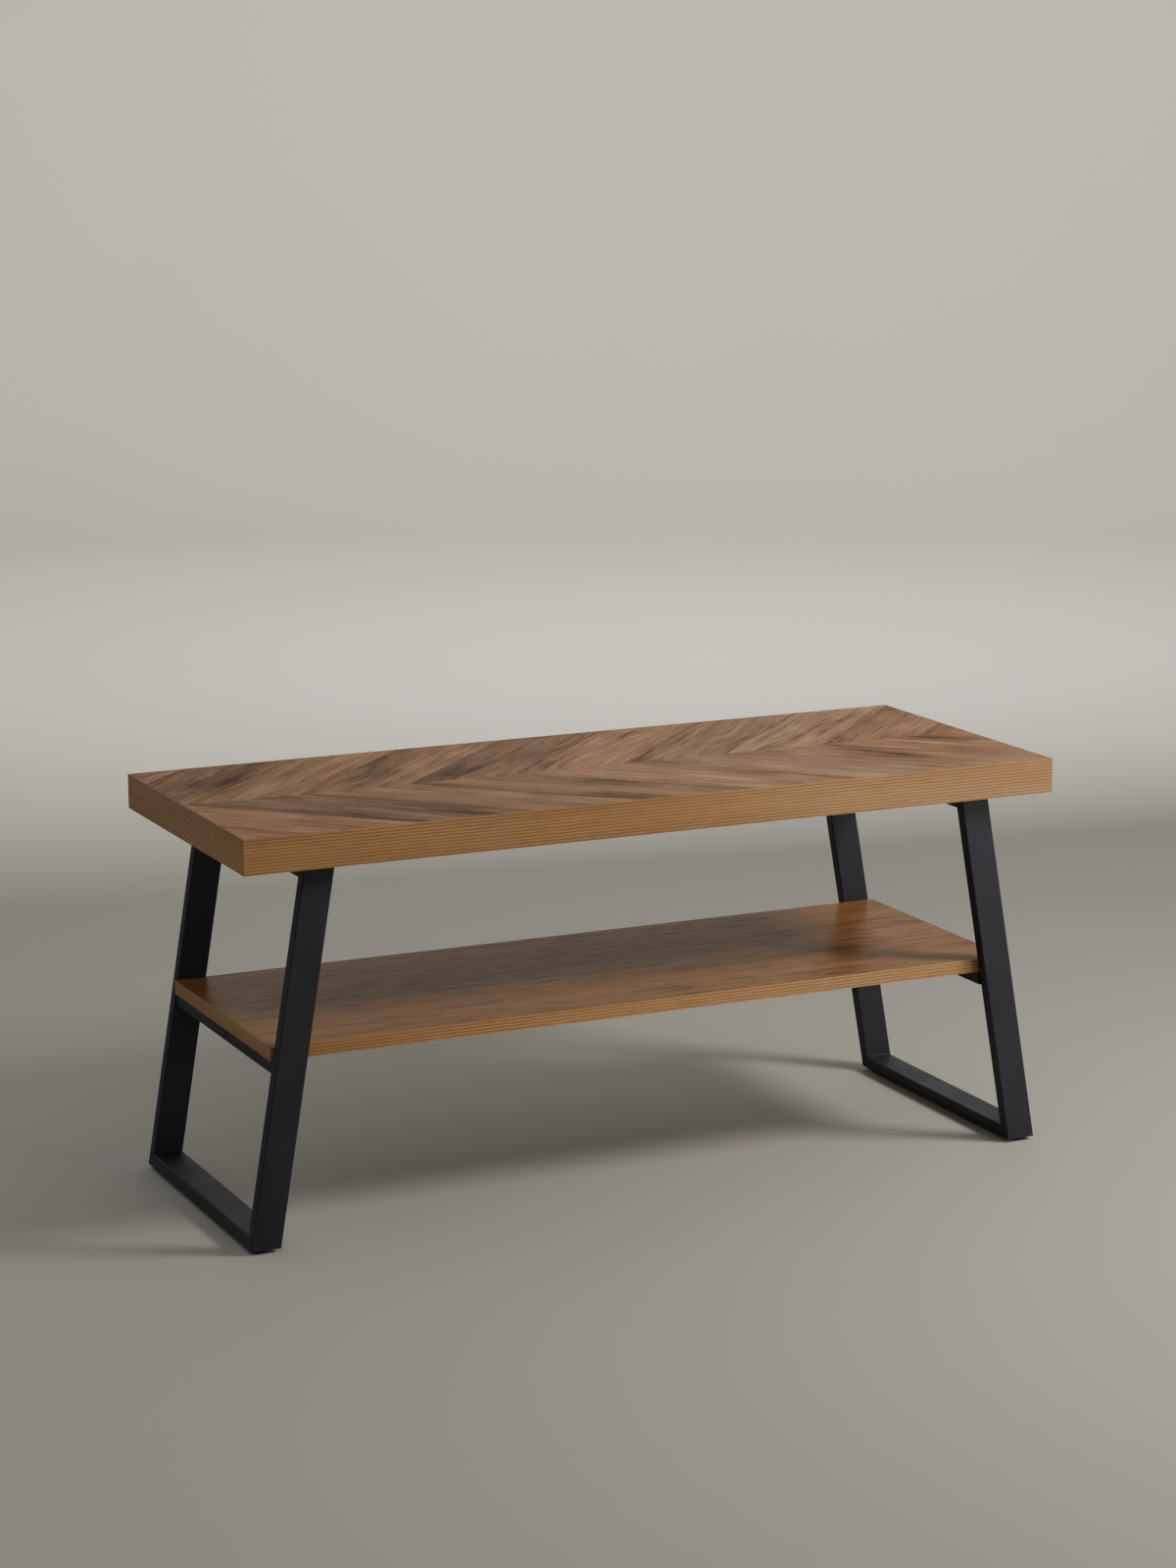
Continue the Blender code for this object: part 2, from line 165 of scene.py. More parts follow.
# Camera: where it stands, how far it is turned, tipped and rolled in radians, and its lens. The
# sensor's width in millimetres lies along the taller side of the picture.
CAMERA_PLACE = (-1.7443, -3.7673, 1.2891)
CAMERA_YAW = 0.43212
CAMERA_PITCH = 0.20013
CAMERA_ROLL = -0.00609
FOCAL_OVER_HEIGHT = 2.3239
SENSOR = 36.0

# The studio: a pale floor that curves up into a low wall all round, a little blotchy.
FLOOR_RADIUS = 5.6
CURVE_RADIUS = 1.6
WALL_HEIGHT = 2.6
CURVE_STEPS = 12
ROUND_STEPS = 96
STAGE_COLOUR = (0.340, 0.315, 0.267)
STAGE_BLOTCH = 0.94

# Round area lights: name, place, aim, size across, power and colour.
LIGHTS = (
    ("key_light", (1.33, -0.98, 1.46), (0.15, 0.0, 0.30), 0.55, 34.5, (1.0, 0.965, 0.91)),
    ("low_light", (1.15, -1.55, 0.42), (0.50, 0.0, 0.32), 0.6, 6.5, (1.0, 0.98, 0.95)),
    ("wall_wash", (1.6, 2.0, 2.9), (2.4, 7.0, 1.6), 2.0, 450.0, (1.0, 0.99, 0.96)),
)
SKY_COLOUR = (0.93, 0.96, 1.0)
SKY_STRENGTH = 0.58


# --- Node helpers ------------------------------------------------------------------------------

class Tree:
    """Short calls for building one material's nodes."""

    def __init__(self, name, roughness=0.5, metallic=0.0, specular=0.5):
        self.material = bpy.data.materials.new(name)
        self.material.use_nodes = True
        self.nodes = self.material.node_tree.nodes
        self.links = self.material.node_tree.links
        self.shader = self.nodes["Principled BSDF"]
        self.shader.inputs["Roughness"].default_value = roughness
        self.shader.inputs["Metallic"].default_value = metallic
        self.shader.inputs["Specular IOR Level"].default_value = specular

    def join(self, value, socket):
        """Link a socket, or set a plain value."""
        if isinstance(value, bpy.types.NodeSocket):
            self.links.new(value, socket)
        elif isinstance(value, tuple) and socket.type == "RGBA":
            socket.default_value = (*value, 1.0)
        else:
            socket.default_value = value

    def join_all(self, values, node):
        """Link or set a node's first inputs, in order, and return its first output."""
        for value, socket in zip(values, node.inputs):
            self.join(value, socket)
        return node.outputs[0]

    def finish(self, colour, roughness=None, normal=None):
        """Join the shader's inputs, and return the finished material."""
        self.join(colour, self.shader.inputs["Base Color"])
        if roughness is not None:
            self.join(roughness, self.shader.inputs["Roughness"])
        if normal is not None:
            self.join(normal, self.shader.inputs["Normal"])
        return self.material

    def math(self, operation, *values):
        node = self.nodes.new("ShaderNodeMath")
        node.operation = operation
        return self.join_all(values, node)

    def vector(self, operation, *values):
        node = self.nodes.new("ShaderNodeVectorMath")
        node.operation = operation
        return self.join_all(values, node)

    def combine(self, x, y, z):
        return self.join_all((x, y, z), self.nodes.new("ShaderNodeCombineXYZ"))

    def separate(self, vector):
        node = self.nodes.new("ShaderNodeSeparateXYZ")
        self.join(vector, node.inputs[0])
        return node.outputs

    def noise(self, vector, scale=1.0, detail=2.0, roughness=0.5, distortion=0.0):
        node = self.nodes.new("ShaderNodeTexNoise")
        self.join(vector, node.inputs["Vector"])
        node.inputs["Scale"].default_value = scale
        node.inputs["Detail"].default_value = detail
        node.inputs["Roughness"].default_value = roughness
        node.inputs["Distortion"].default_value = distortion
        return node.outputs["Fac"]

    def grain_noise(self, grain, along, across, shift=0.0, **noise):
        """Noise whose features lie along the grain: its scale along it, across it, and its shift."""
        moved = self.vector("ADD", grain, (shift, shift * 1.7, shift * 0.6))
        return self.noise(self.vector("MULTIPLY", moved, (along, across, across)), **noise)

    def ramp(self, value, low, high, out_low=0.0, out_high=1.0):
        """Smooth step of value from low to high."""
        node = self.nodes.new("ShaderNodeMapRange")
        node.interpolation_type = "SMOOTHSTEP"
        return self.join_all((value, low, high, out_low, out_high), node)

    def mix(self, factor, first, second, blend="MIX"):
        node = self.nodes.new("ShaderNodeMix")
        node.data_type = "RGBA"
        node.blend_type = blend
        self.join(factor, node.inputs[0])
        self.join(first, node.inputs[6])
        self.join(second, node.inputs[7])
        return node.outputs[2]

    def tinted(self, factor, colour, tint):
        """Colour, with a share of it multiplied by a tint."""
        return self.mix(factor, colour, self.mix(1.0, colour, tint, "MULTIPLY"))

    def bump(self, height, distance):
        node = self.nodes.new("ShaderNodeBump")
        node.inputs["Distance"].default_value = distance
        self.join(height, node.inputs["Height"])
        return node.outputs[0]

    def object_place(self):
        return self.nodes.new("ShaderNodeTexCoord").outputs["Object"]

    def uv(self, name):
        node = self.nodes.new("ShaderNodeUVMap")
        node.uv_map = name
        return node.outputs[0]

    def attribute(self, name):
        node = self.nodes.new("ShaderNodeAttribute")
        node.attribute_name = name
        return node.outputs["Vector"]


# --- Wood --------------------------------------------------------------------------------------

def three_tones(tree, tone, palette):
    """Colour for a tone of about 0 to 1, from dark through middle to light."""
    dark, middle, light = palette
    colour = tree.mix(tree.ramp(tone, 0.0, 0.52), dark, middle)
    return tree.mix(tree.ramp(tone, 0.48, 1.0), colour, light)


def centred(tree, value, gain):
    """A noise value moved to swing about zero, times gain."""
    return tree.math("MULTIPLY", tree.math("SUBTRACT", value, 0.5), gain)


def add_layers(tree, value, *layers):
    """Value plus the centred swing of each layer, given as (noise, gain)."""
    for noise, gain in layers:
        value = tree.math("ADD", value, centred(tree, noise, gain))
    return value


def bend(tree, grain, along, across, reach):
    """Grain coordinates that wander sideways by up to about reach."""
    sway = tree.grain_noise(grain, along, across, detail=3.0)
    return tree.vector("ADD", grain, tree.combine(0.0, centred(tree, sway, reach), 0.0))


def oval_reach(tree, place, middle, size):
    """Squared distance from the middle of an oval, which is 1 at its rim."""
    squares = []
    for axis in range(2):
        share = tree.math("DIVIDE", tree.math("SUBTRACT", place[axis], middle[axis]), size[axis])
        squares.append(tree.math("MULTIPLY", share, share))
    return tree.math("ADD", *squares)


def pore_dots(tree, bent, along):
    """Fine pores drawn out along the grain, longer for a smaller scale along it."""
    pores = tree.grain_noise(bent, along, across=1300.0, shift=5.2, detail=1.0)
    return tree.ramp(pores, 0.60, 0.74)


def pressed_height(tree, pores, fibre):
    """Height of the printed sheet: fibres stand up a little, and pores sink in."""
    return tree.math("MULTIPLY_ADD", pores, -0.8, tree.math("MULTIPLY", fibre, 0.5))


def growth_rings(tree, grain, bent, bands):
    """Faint dark and light rings that follow the bands and show only in places."""
    rings = tree.math("MULTIPLY", tree.separate(bent)[1], 2 * math.pi / RING_PITCH)
    rings = tree.math("SINE", tree.math("MULTIPLY_ADD", bands, 12.0, rings))
    shown = tree.grain_noise(grain, along=6.0, across=12.0, shift=14.2, detail=1.0)
    return tree.math("MULTIPLY", rings, tree.ramp(shown, 0.42, 0.62, 0.01, 0.07))


def chevron_grain(tree, grain, streaks, knot):
    """Colour and height of a printed walnut board: soft blotches, long streaks and fine fibres."""
    bent = bend(tree, grain, along=3.2, across=9.0, reach=0.048)
    bands = tree.grain_noise(bent, along=3.4, across=26.0, shift=2.0, detail=5.0, roughness=0.60)
    cloud = tree.grain_noise(grain, along=11.0, across=20.0, shift=5.0, detail=3.0)
    fibre = tree.grain_noise(bent, along=6.0, across=300.0, shift=7.7, detail=4.0, roughness=0.62)
    fine = tree.grain_noise(bent, along=20.0, across=1100.0, shift=1.3, detail=3.0, roughness=0.6)
    figure = tree.grain_noise(bent, along=9.0, across=95.0, shift=9.3, detail=4.0, roughness=0.6)
    speckle = tree.grain_noise(grain, along=95.0, across=420.0, shift=12.5, roughness=0.6)
    tone = add_layers(tree, 0.57, (bands, 1.3), (cloud, 0.9), (figure, 1.3), (fibre, 1.4),
                      (fine, 0.8), (speckle, 0.8))
    tone = tree.math("ADD", tone, growth_rings(tree, grain, bent, bands))
    colour = three_tones(tree, tone, CHEVRON_WOOD)
    hue = tree.grain_noise(grain, along=7.0, across=16.0, shift=8.4)
    colour = tree.mix(1.0, colour, tree.mix(tree.ramp(hue, 0.36, 0.64), REDDISH, YELLOWISH), "MULTIPLY")
    flame = tree.grain_noise(bent, along=7.0, across=36.0, shift=11.0, detail=6.0, roughness=0.62,
                             distortion=0.6)
    flame = tree.math("MULTIPLY", tree.ramp(flame, 0.50, 0.66), streaks)
    colour = tree.tinted(tree.math("MULTIPLY", flame, 0.55), colour, FLAME_TINT)
    colour = tree.tinted(knot, colour, KNOT_TINT)
    lines = tree.grain_noise(bent, along=10.0, across=380.0, shift=3.6, detail=3.0, roughness=0.6)
    lines = tree.math("MULTIPLY", tree.ramp(lines, 0.53, 0.63), 0.75)
    pores = pore_dots(tree, bent, along=45.0)
    marks = tree.math("MAXIMUM", tree.math("MULTIPLY", pores, 0.60), lines)
    return tree.tinted(marks, colour, PORE_TINT), pressed_height(tree, pores, fibre)


def board_knot(tree, grain, place):
    """Ragged dark spot at the board's own knot, drawn out along the grain."""
    along, side, strength = tree.separate(tree.attribute("board_knot"))
    ragged = tree.grain_noise(grain, along=13.0, across=70.0, shift=4.4, detail=5.0, roughness=0.6)
    reach = tree.math("SQRT", oval_reach(tree, place, (along, side), KNOT_SIZE))
    reach = add_layers(tree, reach, (ragged, 4.0))
    core = tree.ramp(reach, -0.2, 1.3, 0.70, 0.0)
    halo = tree.ramp(reach, 0.4, 2.4, 0.30, 0.0)
    return tree.math("MULTIPLY", tree.math("ADD", core, halo), strength)


def shelf_grain(tree, grain):
    """Colour and height of the shelf's print: lengthwise bands with short fine dashes."""
    bent = bend(tree, grain, along=2.6, across=10.0, reach=0.045)
    bands = tree.grain_noise(bent, along=1.6, across=34.0, shift=3.1, detail=5.0, roughness=0.58)
    cloud = tree.grain_noise(grain, along=5.0, across=14.0, shift=6.0)
    fibre = tree.grain_noise(bent, along=10.0, across=330.0, shift=7.7, detail=4.0, roughness=0.62)
    fine = tree.grain_noise(bent, along=30.0, across=1100.0, shift=1.3, detail=3.0, roughness=0.6)
    figure = tree.grain_noise(bent, along=9.0, across=130.0, shift=8.8, detail=4.0, roughness=0.6)
    tone = add_layers(tree, 0.56, (bands, 1.2), (cloud, 0.4), (figure, 1.2), (fibre, 1.2), (fine, 0.9))
    colour = three_tones(tree, tone, SHELF_WOOD)
    reach = oval_reach(tree, tree.separate(grain), SHELF_STREAK, SHELF_STREAK_SIZE)
    streak = tree.ramp(add_layers(tree, reach, (bands, 5.0)), 0.0, 1.4, 0.55, 0.0)
    dashes = tree.grain_noise(bent, along=22.0, across=230.0, shift=2.9, detail=3.0, roughness=0.55)
    dashes = tree.math("MULTIPLY", tree.ramp(dashes, 0.53, 0.66), 0.78)
    pores = pore_dots(tree, bent, along=70.0)
    marks = tree.math("MAXIMUM", streak, dashes)
    marks = tree.math("MAXIMUM", marks, tree.math("MULTIPLY", pores, 0.40))
    return tree.tinted(marks, colour, SHELF_MARK_TINT), pressed_height(tree, pores, fibre)


def laminate_roughness(tree, grain, low, high):
    """Roughness that wanders between two values along the grain."""
    sheen = tree.grain_noise(grain, along=30.0, across=260.0, shift=2.2, detail=3.0)
    return tree.ramp(sheen, 0.25, 0.75, low, high)


def chevron_material():
    """Printed boards of the top, each with its own tone, knot, dark rim and darker joint side."""
    tree = Tree("chevron_laminate", specular=0.012)
    grain = tree.uv("grain")
    lightness, warmth, streaks = tree.separate(tree.attribute("board_tone"))
    place = tree.separate(tree.uv("board"))
    colour, height = chevron_grain(tree, grain, streaks, board_knot(tree, grain, place))
    colour = tree.mix(1.0, colour, tree.mix(warmth, COOL, WARM), "MULTIPLY")
    side = place[1]
    edge = tree.math("MINIMUM", side, tree.math("SUBTRACT", BOARD_WIDTH, side))
    worn = tree.grain_noise(grain, along=22.0, across=22.0, shift=6.6)
    shade = tree.ramp(edge, 0.0, PRINTED_EDGE, tree.ramp(worn, 0.35, 0.65, 0.45, 0.85), 1.0)
    fading = tree.math("MULTIPLY", tree.ramp(side, FADE_WIDTH, 0.0, 0.0, 0.22), streaks)
    shade = tree.math("MULTIPLY", shade, tree.math("SUBTRACT", lightness, fading))
    colour = tree.mix(1.0, colour, tree.combine(shade, shade, shade), "MULTIPLY")
    return tree.finish(colour, laminate_roughness(tree, grain, 0.36, 0.48), tree.bump(height, 0.00005))


def shelf_material():
    tree = Tree("shelf_laminate", specular=0.048)
    grain = tree.object_place()
    colour, height = shelf_grain(tree, grain)
    return tree.finish(colour, laminate_roughness(tree, grain, 0.28, 0.39), tree.bump(height, 0.00007))


def band_material(name, along_axis):
    """Straight lines along the board's edge, a little broken and wavy, with painted shade that darkens
    its rounded rim.
    """
    tree = Tree(name, specular=0.26)
    place = tree.separate(tree.object_place())
    grain = tree.combine(place[along_axis], place[2], place[1 - along_axis])
    dark, middle, light = BAND_WOOD
    bent = bend(tree, grain, along=3.0, across=12.0, reach=0.0022)
    bent = bend(tree, bent, along=34.0, across=110.0, reach=0.0008)
    lines = tree.math("MULTIPLY", tree.separate(bent)[1], 2 * math.pi / BAND_LINE_PITCH)
    lines = tree.math("SINE", lines)
    broken = tree.grain_noise(grain, along=40.0, across=200.0, shift=4.0, detail=3.0, roughness=0.6)
    lines = tree.math("MULTIPLY", tree.ramp(lines, -0.3, 0.8), tree.ramp(broken, 0.28, 0.52, 0.60, 1.0))
    fibre = tree.grain_noise(grain, along=35.0, across=1100.0, shift=6.0, detail=4.0, roughness=0.65)
    broad = tree.grain_noise(grain, along=2.0, across=26.0, shift=9.0)
    fleck = tree.grain_noise(grain, along=110.0, across=620.0, shift=7.1, detail=1.0)
    colour = tree.mix(tree.ramp(broad, 0.3, 0.7), middle, light)
    colour = tree.mix(tree.ramp(fibre, 0.45, 0.8, 0.0, 0.40), colour, dark)
    colour = tree.mix(tree.ramp(fleck, 0.58, 0.74, 0.0, 0.28), colour, dark)
    colour = tree.mix(tree.math("MULTIPLY", lines, 0.62), colour, dark)
    # Painted shade: where the surface turns to face up or down, as on the rounded rim, the colour is
    # mixed towards the dark wood. This hides the highlight the lamps lay along that edge.
    facing = tree.separate(tree.nodes.new("ShaderNodeNewGeometry").outputs["Normal"])[2]
    painted_rim_shade = tree.ramp(tree.math("ABSOLUTE", facing), 0.2, 0.7, 0.0, 0.75)
    colour = tree.mix(painted_rim_shade, colour, dark)
    height = tree.math("MULTIPLY_ADD", lines, -0.7, fibre)
    return tree.finish(colour, tree.ramp(fibre, 0.2, 0.8, 0.40, 0.56), tree.bump(height, 0.0001))


# --- Other finishes ----------------------------------------------------------------------------

def powder_coat_material():
    tree = Tree("powder_coat_black", specular=0.30)
    place = tree.object_place()
    orange_peel = tree.noise(place, scale=900.0)
    grit = tree.noise(place, scale=3200.0, detail=1.0)
    cloud = tree.noise(place, scale=14.0, detail=3.0)
    colour = tree.mix(tree.ramp(cloud, 0.3, 0.7), *POWDER_COAT)
    colour = tree.mix(tree.ramp(grit, 0.62, 0.72, 0.0, 0.35), colour, POWDER_GRIT)
    height = tree.math("MULTIPLY_ADD", grit, 0.35, orange_peel)
    return tree.finish(colour, tree.ramp(cloud, 0.25, 0.75, 0.50, 0.62), tree.bump(height, 0.00016))


def chipboard_material():
    tree = Tree("pressed_chips")
    chips = tree.nodes.new("ShaderNodeTexVoronoi")
    tree.join(tree.vector("MULTIPLY", tree.object_place(), (1.0, 1.0, 2.5)), chips.inputs["Vector"])
    chips.inputs["Scale"].default_value = 420.0
    colour = tree.mix(tree.separate(chips.outputs["Color"])[0], *WOOD_CHIPS)
    return tree.finish(colour, 0.85, tree.bump(chips.outputs["Distance"], 0.0003))


def backing_material():
    tree = Tree("backing_paper")
    place = tree.object_place()
    fleck = tree.noise(place, scale=700.0, detail=3.0)
    cloud = tree.noise(place, scale=9.0, detail=3.0)
    colour = tree.mix(tree.ramp(cloud, 0.3, 0.7), *BACKING_PAPER)
    colour = tree.mix(tree.ramp(fleck, 0.58, 0.7, 0.0, 0.5), colour, BACKING_FLECK)
    return tree.finish(colour, tree.ramp(fleck, 0.3, 0.7, 0.62, 0.78), tree.bump(fleck, 0.00005))


def metal_material(name, colours, low, high):
    """Plated or blackened metal with blotches and fine upright scratches."""
    tree = Tree(name, metallic=1.0)
    place = tree.object_place()
    blotch = tree.noise(place, scale=260.0, detail=4.0)
    scratch = tree.noise(tree.vector("MULTIPLY", place, (2500.0, 2500.0, 260.0)))
    colour = tree.mix(tree.ramp(blotch, 0.3, 0.7), *colours)
    return tree.finish(colour, tree.ramp(scratch, 0.2, 0.8, low, high), tree.bump(scratch, 0.00003))


def plastic_material():
    tree = Tree("foot_nylon")
    place = tree.object_place()
    grain = tree.noise(place, scale=1600.0)
    colour = tree.mix(tree.noise(place, scale=120.0), *NYLON)
    return tree.finish(colour, tree.ramp(grain, 0.3, 0.7, 0.50, 0.66), tree.bump(grain, 0.00008))


def stage_material():
    tree = Tree("pale_studio_floor", roughness=0.75)
    cloud = tree.noise(tree.object_place(), scale=1.1, detail=4.0, roughness=0.6)
    darker = tuple(STAGE_BLOTCH * value for value in STAGE_COLOUR)
    return tree.finish(tree.mix(cloud, darker, STAGE_COLOUR))


# --- Pieces ------------------------------------------------------------------------------------

def piece_from_bmesh(bm, name, material, replaced=()):
    """Make a piece of the bench that rides on its fixed body."""
    mesh = bpy.data.meshes.new(name)
    bm.to_mesh(mesh)
    bm.free()
    mesh.materials.append(material)
    piece = bpy.data.objects.new(name, mesh)
    bpy.context.scene.collection.objects.link(piece)
    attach(piece, BODY)
    if replaced:
        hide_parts(*replaced)
    return piece


def bisect_faces(bm, faces, point, normal):
    """Cut the given faces with a plane, and keep both sides."""
    edges = {edge for face in faces for edge in face.edges}
    verts = {vert for face in faces for vert in face.verts}
    bmesh.ops.bisect_plane(bm, geom=[*faces, *edges, *verts], dist=0.000001, plane_co=point,
                           plane_no=normal)


def write_board_layers(bm):
    """Grain and edge coordinates for each board, turned along it and shifted by its own amount."""
    grain = bm.loops.layers.uv.new("grain")
    edge = bm.loops.layers.uv.new("board")
    tone = bm.faces.layers.float_vector.new("board_tone")
    knot = bm.faces.layers.float_vector.new("board_knot")
    for face in bm.faces:
        centre = face.calc_center_median()
        rear = centre.y > 0
        number = math.floor((centre.x - abs(centre.y) - CHEVRON_START) / CHEVRON_PITCH)
        shift = random.Random(100 * rear + number)
        offset = Vector((shift.uniform(0.0, 9.0), shift.uniform(0.0, 5.0)))
        turn = 1.0 if rear else -1.0
        along = Vector((math.cos(CHEVRON_TURN), turn * math.sin(CHEVRON_TURN)))
        across = Vector((-along.y, along.x))
        start = Vector((CHEVRON_START + number * CHEVRON_PITCH, 0.0))
        face[tone] = (REAR_BOARDS if rear else FRONT_BOARDS)[number]
        face[knot] = (REAR_KNOTS if rear else FRONT_KNOTS).get(number, NO_KNOT)
        for loop in face.loops:
            place = loop.vert.co.xy - start
            loop[grain].uv = Vector((place.dot(along), place.dot(across))) + offset
            loop[edge].uv = (place.dot(along), abs(place.dot(across)))


def chevron_top(material):
    """One face sheet with shallow grooves between the chevron boards."""
    low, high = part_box("top_chevron_face")
    bm = bmesh.new()
    bmesh.ops.create_grid(bm, x_segments=1, y_segments=2, size=1.0)
    bmesh.ops.transform(bm, matrix=Matrix.Diagonal((high[0], high[1], 1.0, 1.0)), verts=bm.verts)
    for number in range(FIRST_BOARD + 1, LAST_BOARD + 1):
        corner = (CHEVRON_START + number * CHEVRON_PITCH, 0.0, 0.0)
        for side in ENDS.values():
            half = [face for face in bm.faces if face.calc_center_median().y * side > 0]
            bisect_faces(bm, half, corner, (1.0, -side, 0.0))
    joints = list(bm.verts)
    bmesh.ops.inset_individual(bm, faces=list(bm.faces), thickness=GROOVE_WIDTH / 2, depth=0.0,
                               use_even_offset=True)
    for vert in bm.verts:
        vert.co.z = high[2]
    for vert in joints:
        vert.co.z -= GROOVE_DEPTH
    under = bmesh.ops.extrude_face_region(bm, geom=list(bm.faces))
    for item in under["geom"]:
        if isinstance(item, bmesh.types.BMVert):
            item.co.z = low[2]
    bmesh.ops.recalc_face_normals(bm, faces=bm.faces)
    write_board_layers(bm)
    piece_from_bmesh(bm, "top_chevron_boards", material, ["top_chevron_face"])


def outer_edge(post, z):
    """Distance of the post's outer edge from the middle of the bench at height z."""
    low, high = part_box(post)
    near, far = sorted((abs(low[0]), abs(high[0])))
    slope = (far - near - TUBE_WIDTH) / (high[2] - low[2])
    return far - slope * (z - low[2])


def add_bead(bm, start, end, seed):
    """Rippled weld bead: rings of slightly different size from start to end."""
    start = Vector(start)
    end = Vector(end)
    along = (end - start).normalized()
    first = along.orthogonal().normalized()
    second = along.cross(first)
    steps = max(4, round((end - start).length / BEAD_STEP))
    spread = random.Random(seed)
    rings = []
    for step in range(steps + 1):
        share = step / steps
        taper = min(1.0, BEAD_TIP + BEAD_TAPER * min(share, 1.0 - share))
        ripple = 1.0 + BEAD_RIPPLE * (step % 2) + spread.uniform(-BEAD_SPREAD, BEAD_SPREAD)
        radius = BEAD_RADIUS * taper * ripple
        centre = start.lerp(end, share)
        ring = []
        for side in range(BEAD_SIDES):
            angle = 2 * math.pi * side / BEAD_SIDES
            offset = math.cos(angle) * first + math.sin(angle) * second
            ring.append(bm.verts.new(centre + radius * offset))
        rings.append(ring)
    for here, there in zip(rings, rings[1:]):
        for side in range(BEAD_SIDES):
            after = (side + 1) % BEAD_SIDES
            bm.faces.new((here[side], here[after], there[after], there[side]))
    bm.faces.new(list(reversed(rings[0])))
    bm.faces.new(rings[-1])


def rounded_outline(width, height, radius, steps=4):
    """Points of a rounded rectangle centred on the origin."""
    points = []
    for turn, (sx, sy) in enumerate(((1, 1), (-1, 1), (-1, -1), (1, -1))):
        for step in range(steps + 1):
            angle = (turn + step / steps) * math.pi / 2
            points.append((sx * (width / 2 - radius) + radius * math.cos(angle),
                           sy * (height / 2 - radius) + radius * math.sin(angle)))
    return points


def add_plate(bm, points, normal):
    """Thin plate across a joint: a closed outline thickened along normal."""
    offset = Vector(normal).normalized() * SEAM_THICKNESS / 2
    near = [bm.verts.new(point - offset) for point in points]
    far = [bm.verts.new(point + offset) for point in points]
    bm.faces.new(near)
    bm.faces.new(list(reversed(far)))
    count = len(points)
    for index in range(count):
        after = (index + 1) % count
        bm.faces.new((near[index], far[index], far[after], near[after]))


def frame_welds(hand, side, material):
    """Weld beads in the inner corners, and filled mitres dressed flush with the tubes."""
    post = f"{hand}_front_post"
    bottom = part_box(f"{hand}_floor_rail")[0][2]
    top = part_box(f"{hand}_top_rail")[1][2]
    under_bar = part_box(f"{hand}_shelf_bar")[0][2]
    outer_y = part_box(f"{hand}_rear_post")[1][1]

    def middle(z):
        return side * (outer_edge(post, z) - TUBE_WIDTH / 2)

    bm = bmesh.new()
    reach = TUBE_WIDTH / 2 - BEAD_END_GAP
    corners = (bottom + TUBE_HEIGHT + BEAD_LIFT, top - TUBE_HEIGHT - BEAD_LIFT, under_bar - BEAD_LIFT)
    for index, z in enumerate(corners):
        for end in ENDS.values():
            y = end * (outer_y - TUBE_HEIGHT - BEAD_LIFT)
            add_bead(bm, (middle(z) - reach, y, z), (middle(z) + reach, y, z), seed=10 * index + end)
    outline = rounded_outline(TUBE_WIDTH - SEAM_INSET, TUBE_HEIGHT - SEAM_INSET, TUBE_CORNER)
    for end in ENDS.values():
        for start, rise in ((bottom, 1.0), (top, -1.0)):
            points = []
            for x, depth in outline:
                z = start + rise * (TUBE_HEIGHT / 2 + depth)
                y = end * (outer_y - TUBE_HEIGHT / 2 - depth)
                points.append(Vector((middle(z) + x, y, z)))
            add_plate(bm, points, (0.0, end, rise))
    bmesh.ops.recalc_face_normals(bm, faces=bm.faces)
    welds = piece_from_bmesh(bm, f"{hand}_frame_welds", material)
    welds.data.shade_smooth()
    welds.data.set_sharp_from_angle(angle=WELD_SHARP_ANGLE)


def dress_cad_nodes(materials):
    """Give every carried-over CAD node its finish, and its fine edge where it has flat sheets."""
    for name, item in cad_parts.items():
        key = next(value for ending, value in FINISH_BY_ENDING.items() if name.endswith(ending))
        item.data.materials.clear()
        item.data.materials.append(materials[key])
        if "_band_" in name or name.endswith("_woodgrain_face"):
            bevel = item.modifiers.new("fine_edge", "BEVEL")
            bevel.width = EDGE_ROUND
            bevel.segments = EDGE_SEGMENTS
            bevel.limit_method = "ANGLE"


# --- Stage, light and camera -------------------------------------------------------------------

def studio():
    """Pale floor disc that curves up into a low round wall."""
    profile = [(0.0, 0.0), (FLOOR_RADIUS, 0.0)]
    for step in range(1, CURVE_STEPS + 1):
        angle = step / CURVE_STEPS * math.pi / 2
        radius = FLOOR_RADIUS + CURVE_RADIUS * math.sin(angle)
        profile.append((radius, CURVE_RADIUS * (1 - math.cos(angle))))
    profile.append((FLOOR_RADIUS + CURVE_RADIUS, WALL_HEIGHT))
    bm = bmesh.new()
    points = [bm.verts.new((radius, 0.0, z)) for radius, z in profile]
    edges = [bm.edges.new(pair) for pair in zip(points, points[1:])]
    bmesh.ops.spin(bm, geom=points + edges, cent=(0, 0, 0), axis=(0, 0, 1), angle=2 * math.pi,
                   steps=ROUND_STEPS, use_merge=True)
    bmesh.ops.remove_doubles(bm, verts=bm.verts, dist=0.0001)
    bmesh.ops.recalc_face_normals(bm, faces=bm.faces)
    mesh = bpy.data.meshes.new("studio_floor")
    bm.to_mesh(mesh)
    bm.free()
    mesh.materials.append(stage_material())
    mesh.shade_smooth()
    floor = bpy.data.objects.new("studio_floor", mesh)
    bpy.context.scene.collection.objects.link(floor)


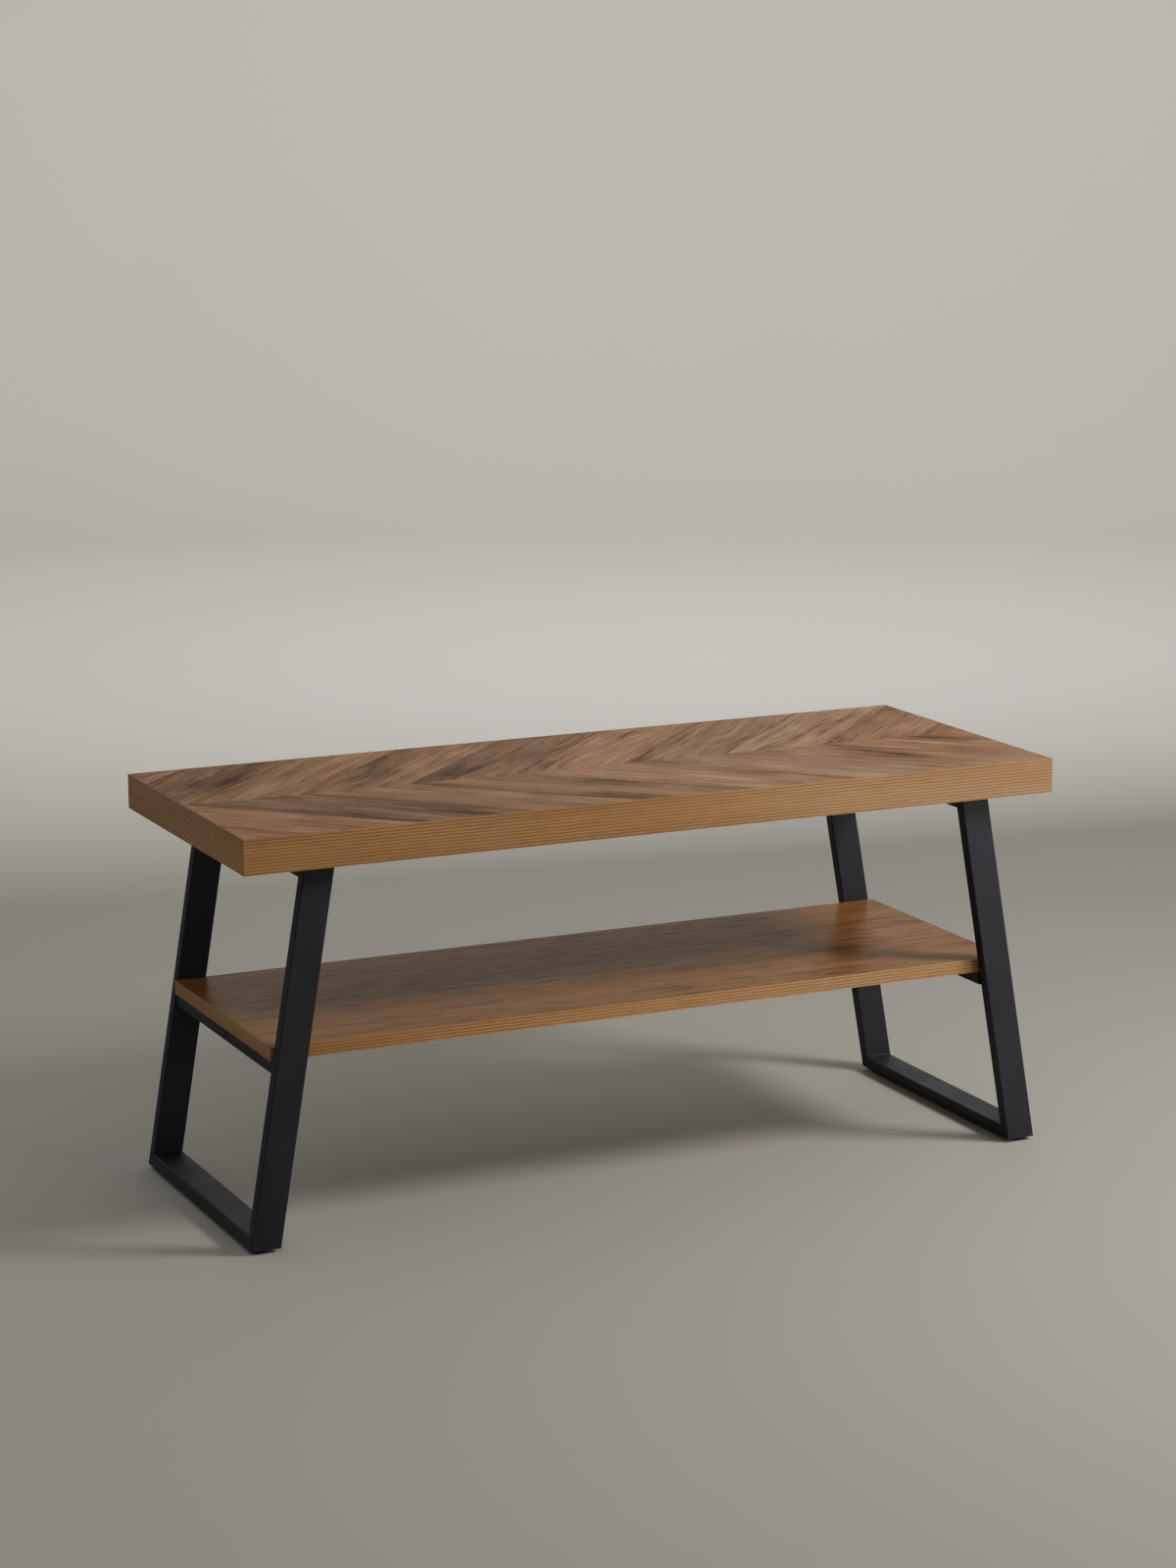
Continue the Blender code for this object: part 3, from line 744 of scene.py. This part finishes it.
def area_light(name, place, aim, size, power, colour):
    data = bpy.data.lights.new(name, "AREA")
    data.shape = "DISK"
    data.size = size
    data.energy = power
    data.color = colour
    lamp = bpy.data.objects.new(name, data)
    lamp.location = place
    lamp.rotation_euler = (Vector(aim) - Vector(place)).to_track_quat("-Z", "Y").to_euler()
    lamp.visible_camera = False
    bpy.context.scene.collection.objects.link(lamp)


def soft_sky():
    """Even light from all round."""
    world = bpy.data.worlds.new("soft_sky")
    bpy.context.scene.world = world
    world.use_nodes = True
    background = world.node_tree.nodes["Background"]
    background.inputs["Color"].default_value = (*SKY_COLOUR, 1.0)
    background.inputs["Strength"].default_value = SKY_STRENGTH


def camera():
    """Camera turned by yaw from +Y, tipped down by pitch, then rolled."""
    ahead = Vector((math.sin(CAMERA_YAW) * math.cos(CAMERA_PITCH),
                    math.cos(CAMERA_YAW) * math.cos(CAMERA_PITCH), -math.sin(CAMERA_PITCH)))
    right = Vector((math.cos(CAMERA_YAW), -math.sin(CAMERA_YAW), 0.0))
    up = right.cross(ahead)
    rolled_right = right * math.cos(CAMERA_ROLL) + up * math.sin(CAMERA_ROLL)
    rolled_up = up * math.cos(CAMERA_ROLL) - right * math.sin(CAMERA_ROLL)
    data = bpy.data.cameras.new("camera")
    data.sensor_width = SENSOR
    data.lens = FOCAL_OVER_HEIGHT * SENSOR
    item = bpy.data.objects.new("camera", data)
    turn = Matrix((rolled_right, rolled_up, -ahead)).transposed().to_4x4()
    item.matrix_world = Matrix.Translation(CAMERA_PLACE) @ turn
    bpy.context.scene.collection.objects.link(item)
    bpy.context.scene.camera = item


def main():
    materials = {
        "chevron": chevron_material(),
        "shelf": shelf_material(),
        "band_x": band_material("edge_band_lengthwise", 0),
        "band_y": band_material("edge_band_crosswise", 1),
        "powder": powder_coat_material(),
        "chips": chipboard_material(),
        "backing": backing_material(),
        "zinc": metal_material("zinc_plate", ZINC, 0.26, 0.42),
        "black": metal_material("black_oxide", BLACK_OXIDE, 0.36, 0.52),
        "plastic": plastic_material(),
    }
    dress_cad_nodes(materials)
    chevron_top(materials["chevron"])
    for hand, side in HANDS.items():
        frame_welds(hand, side, materials["powder"])
    studio()
    for light in LIGHTS:
        area_light(*light)
    soft_sky()
    camera()


main()
